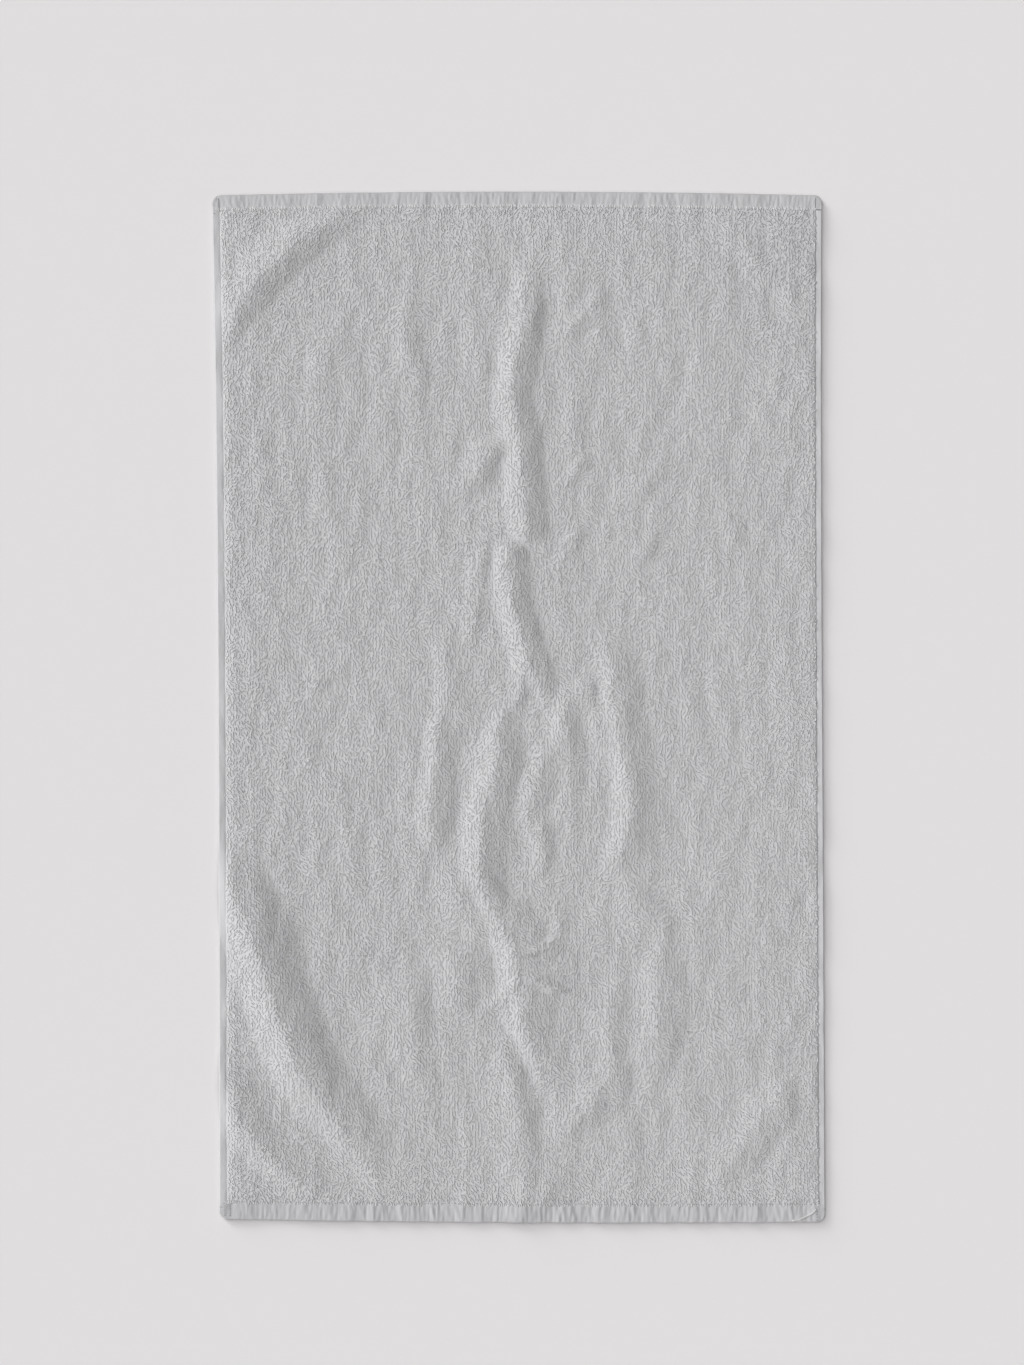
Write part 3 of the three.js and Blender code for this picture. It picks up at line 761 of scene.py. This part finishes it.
def makeLoops(material):
    # the centre line is a low arch, bent sideways; the section round it is a triangle with one
    # corner up, whose size follows the fullness at each station and is nothing at both ends
    a, b, atSeam, rng = loopPlaces()
    x, y = laidOut(a, b)
    count = len(a)
    turn = np.radians(
        loops["lean"] * ripple(x, y, loops["leanLength"], loops["leanSeed"], loops["leanStretch"])
        + loops["smallLean"] * ripple(x, y, loops["smallLeanLength"], loops["leanSeed"] + 1)
        + loops["looseLean"] * rng.normal(0, 1, count))
    turn = math.pi / 2 + np.where(atSeam, loops["seamLean"], 1.0) * turn
    length = loops["length"] * spread(rng, count, loops["lengthSpread"], least=0.5, most=1.5)
    thick = loops["thick"] * spread(rng, count, loops["thickSpread"], least=0.6, most=1.5)
    bend = loops["curl"] * rng.normal(0, 1, count).clip(-2, 2)
    twist = loops["twist"] * rng.normal(0, 1, count).clip(-2, 2)
    rise = loops["rise"] * spread(rng, count, loops["riseSpread"], least=0.4, most=1.7)
    side, _ = fromEdges(a, b)
    beside = 1 - smooth((side - cloth["sideHem"]) / np.where(a < 0, *loops["besideReach"]))
    # painted light: the rows at the end seams and the loops beside the side hems are made lighter; the
    # rest get a random tone
    tone = np.where(atSeam, np.where(b > 0, *loops["seamHighlightTone"]), rng.uniform(0, 1, count))
    tone = tone + np.where(a < 0, *loops["besideHighlightTone"]) * beside
    # painted shade and light, in round patches that fade out to their reach
    for middleX, middleY, reach, change in loops["paintedShadeAndLight"]:
        tone = tone + change * smooth(1 - np.hypot(x - middleX, y - middleY) / reach)
    stations = np.array(loops["stations"])[None, :]
    arch = 1 - (2 * stations - 1) ** 2
    along = length[:, None] * (stations - 0.5)
    aside = bend[:, None] * (arch - 0.5) + twist[:, None] * np.sin(2 * math.pi * stations)
    cosine, sine = np.cos(turn)[:, None], np.sin(turn)[:, None]
    lineX = x[:, None] + along * cosine - aside * sine
    lineY = y[:, None] + along * sine + aside * cosine
    up = -loops["sink"] + (loops["sink"] + rise[:, None]) * arch ** loops["archPower"]
    up = up + loops["edgeLift"] * atSeam[:, None]
    wayX, wayY = np.gradient(lineX, axis=1), np.gradient(lineY, axis=1)
    size = np.hypot(wayX, wayY)
    wayX, wayY = wayX / size, wayY / size
    around = math.pi / 2 + 2 * math.pi * np.arange(loops["sides"]) / loops["sides"]
    radius = 0.5 * thick[:, None] * np.array(loops["fullness"])[None, :]
    inner = slice(1, -1)
    ringX = lineX[:, inner, None] - wayY[:, inner, None] * radius[:, inner, None] * np.cos(around)
    ringY = lineY[:, inner, None] + wayX[:, inner, None] * radius[:, inner, None] * np.cos(around)
    section = loops["flat"] * np.sin(around) - loops["settle"]
    ringUp = up[:, inner, None] + radius[:, inner, None] * section
    tipX, tipY, tipUp = lineX[:, [0, -1]], lineY[:, [0, -1]], up[:, [0, -1]]
    allX = np.concatenate([tipX, ringX.reshape(count, -1)], 1)
    allY = np.concatenate([tipY, ringY.reshape(count, -1)], 1)
    allUp = np.concatenate([tipUp, ringUp.reshape(count, -1)], 1)
    base = thickness(a, b)[:, None] + foldedLift(allX, allY) + swell(allX, allY)
    allZ = base - ground["belowPile"] + allUp
    points = np.stack([allX + shiftX, allY + shiftY, allZ], -1)

    # the faces of one loop: points 0 and 1 are its ends, and the rings follow
    sides = loops["sides"]
    rings = len(loops["stations"]) - 2
    pattern = []
    for k in range(sides):
        after = (k + 1) % sides
        first, last = 2, 2 + (rings - 1) * sides
        pattern.append([0, first + after, first + k])
        pattern.append([1, last + k, last + after])
        for ring in range(rings - 1):
            p, q = 2 + ring * sides, 2 + (ring + 1) * sides
            pattern.append([p + k, p + after, q + after])
            pattern.append([p + k, q + after, q + k])
    pattern = np.array(pattern)
    perLoop = points.shape[1]

    pieces = []
    edges = np.quantile(b, np.linspace(0, 1, loops["bands"] + 1))
    for band in range(loops["bands"]):
        chosen = (b >= edges[band]) & ((b < edges[band + 1]) | (band == loops["bands"] - 1))
        some = points[chosen].reshape(-1, 3)
        faces = (pattern[None] + perLoop * np.arange(chosen.sum())[:, None, None]).reshape(-1, 3)
        piece = addPiece(f"terry_pile_{band + 1}", some, faces, material)
        addTone(piece, np.repeat(tone[chosen], perLoop))
        pieces.append(piece)
    print("loops", count, "triangles", count * len(pattern))
    return pieces


# Floor, light and camera

view = {
    "middleX": -5.5, "middleY": 20.8,  # what the picture's middle looks at
    "frameHeight": 1144.5, "lens": 85, "film": 36,
}
light = {
    # direction towards each lamp, the width of its disc in degrees, its strength and what it lights;
    # the lamps for the floor alone give the soft shadow along the right side and the foot
    "lamps": [((-1.0, 0.06, 0.3), 30, 1.3, "cloth"), ((-1.0, 0.06, 0.8), 60, 1.55, "cloth"),
              ((-0.2, 0.06, 1.0), 110, 1.6, "all"),
              ((-1.0, 1.0, 0.33), 22, 2.5, "floor"), ((-1.0, 1.0, 0.8), 60, 1.1, "floor"),
              ((1.0, -0.4, 0.35), 40, 0.45, "floor")],
    "sky": 0.08,
    "floor": (0.760, 0.741, 0.747), "floorSize": 40000, "floorDrop": 0.1,
}


def makeFloor():
    # one large square, a little below the cloth
    half, z = light["floorSize"] / 2, -light["floorDrop"]
    square = np.array([[-half, -half, z], [half, -half, z], [half, half, z], [-half, half, z]])
    material = bpy.data.materials.new("pale floor")
    material.use_nodes = True
    shader = material.node_tree.nodes["Principled BSDF"]
    shader.inputs["Base Color"].default_value = (*light["floor"], 1)
    shader.inputs["Roughness"].default_value = 0.9
    shader.inputs["Specular IOR Level"].default_value = 0.1
    floor = addPiece("floor", square, np.array([[0, 1, 2, 3]]), material)
    return floor


def makeLampsFor(floor):
    # a lamp for the floor has a receiver collection that holds the floor, and a lamp for the
    # cloth has one that leaves the floor out
    onlyFloor = bpy.data.collections.new("lit floor")
    notFloor = bpy.data.collections.new("unlit floor")
    for collection, state in ((onlyFloor, "INCLUDE"), (notFloor, "EXCLUDE")):
        collection.objects.link(floor)
        collection.collection_objects[0].light_linking.link_state = state
    for towards, disc, strength, lights in light["lamps"]:
        lamp = bpy.data.lights.new("soft light", "SUN")
        lamp.energy = strength
        lamp.angle = math.radians(disc)
        holder = bpy.data.objects.new("soft light", lamp)
        holder.rotation_euler = Vector(towards).to_track_quat("Z", "Y").to_euler()
        bpy.context.scene.collection.objects.link(holder)
        if lights == "floor":
            holder.light_linking.receiver_collection = onlyFloor
        elif lights == "cloth":
            holder.light_linking.receiver_collection = notFloor


def makeCamera():
    # straight above, as far off as the lens needs for the height of the frame
    scene = bpy.context.scene
    world = bpy.data.worlds.new("pale room")
    world.use_nodes = True
    world.node_tree.nodes["Background"].inputs["Color"].default_value = (1, 1, 1, 1)
    world.node_tree.nodes["Background"].inputs["Strength"].default_value = light["sky"]
    scene.world = world
    lens = bpy.data.cameras.new("camera")
    lens.lens = view["lens"]
    lens.sensor_fit = "VERTICAL"
    lens.sensor_height = view["film"]
    camera = bpy.data.objects.new("camera", lens)
    away = view["frameHeight"] * view["lens"] / view["film"]
    camera.location = (view["middleX"] * mm, view["middleY"] * mm, away * mm)
    scene.collection.objects.link(camera)
    scene.camera = camera
    scene.view_settings.view_transform = "Standard"


print("camera, floor and light")
makeCamera()
floor = makeFloor()
makeLampsFor(floor)
yarn = cottonMaterial("terry yarn", yarnLooks)
groundCloth = cottonMaterial("terry ground", groundLooks)
hemCloth = cottonMaterial("hem cloth", hemLooks)
seamCordShade = cottonMaterial("seam cords, painted shade", seamShadeLooks)
print("ground cloth")
groundPiece = makeGround(groundCloth)
print("hems")
hemPiece = makeHems(hemCloth)
print("corner seams")
cornerPiece = makeCorners(seamCordShade)
print("loops")
pile = makeLoops(yarn)

for piece in [groundPiece, hemPiece, cornerPiece, *pile]:
    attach(piece, "root")
    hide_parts(node)
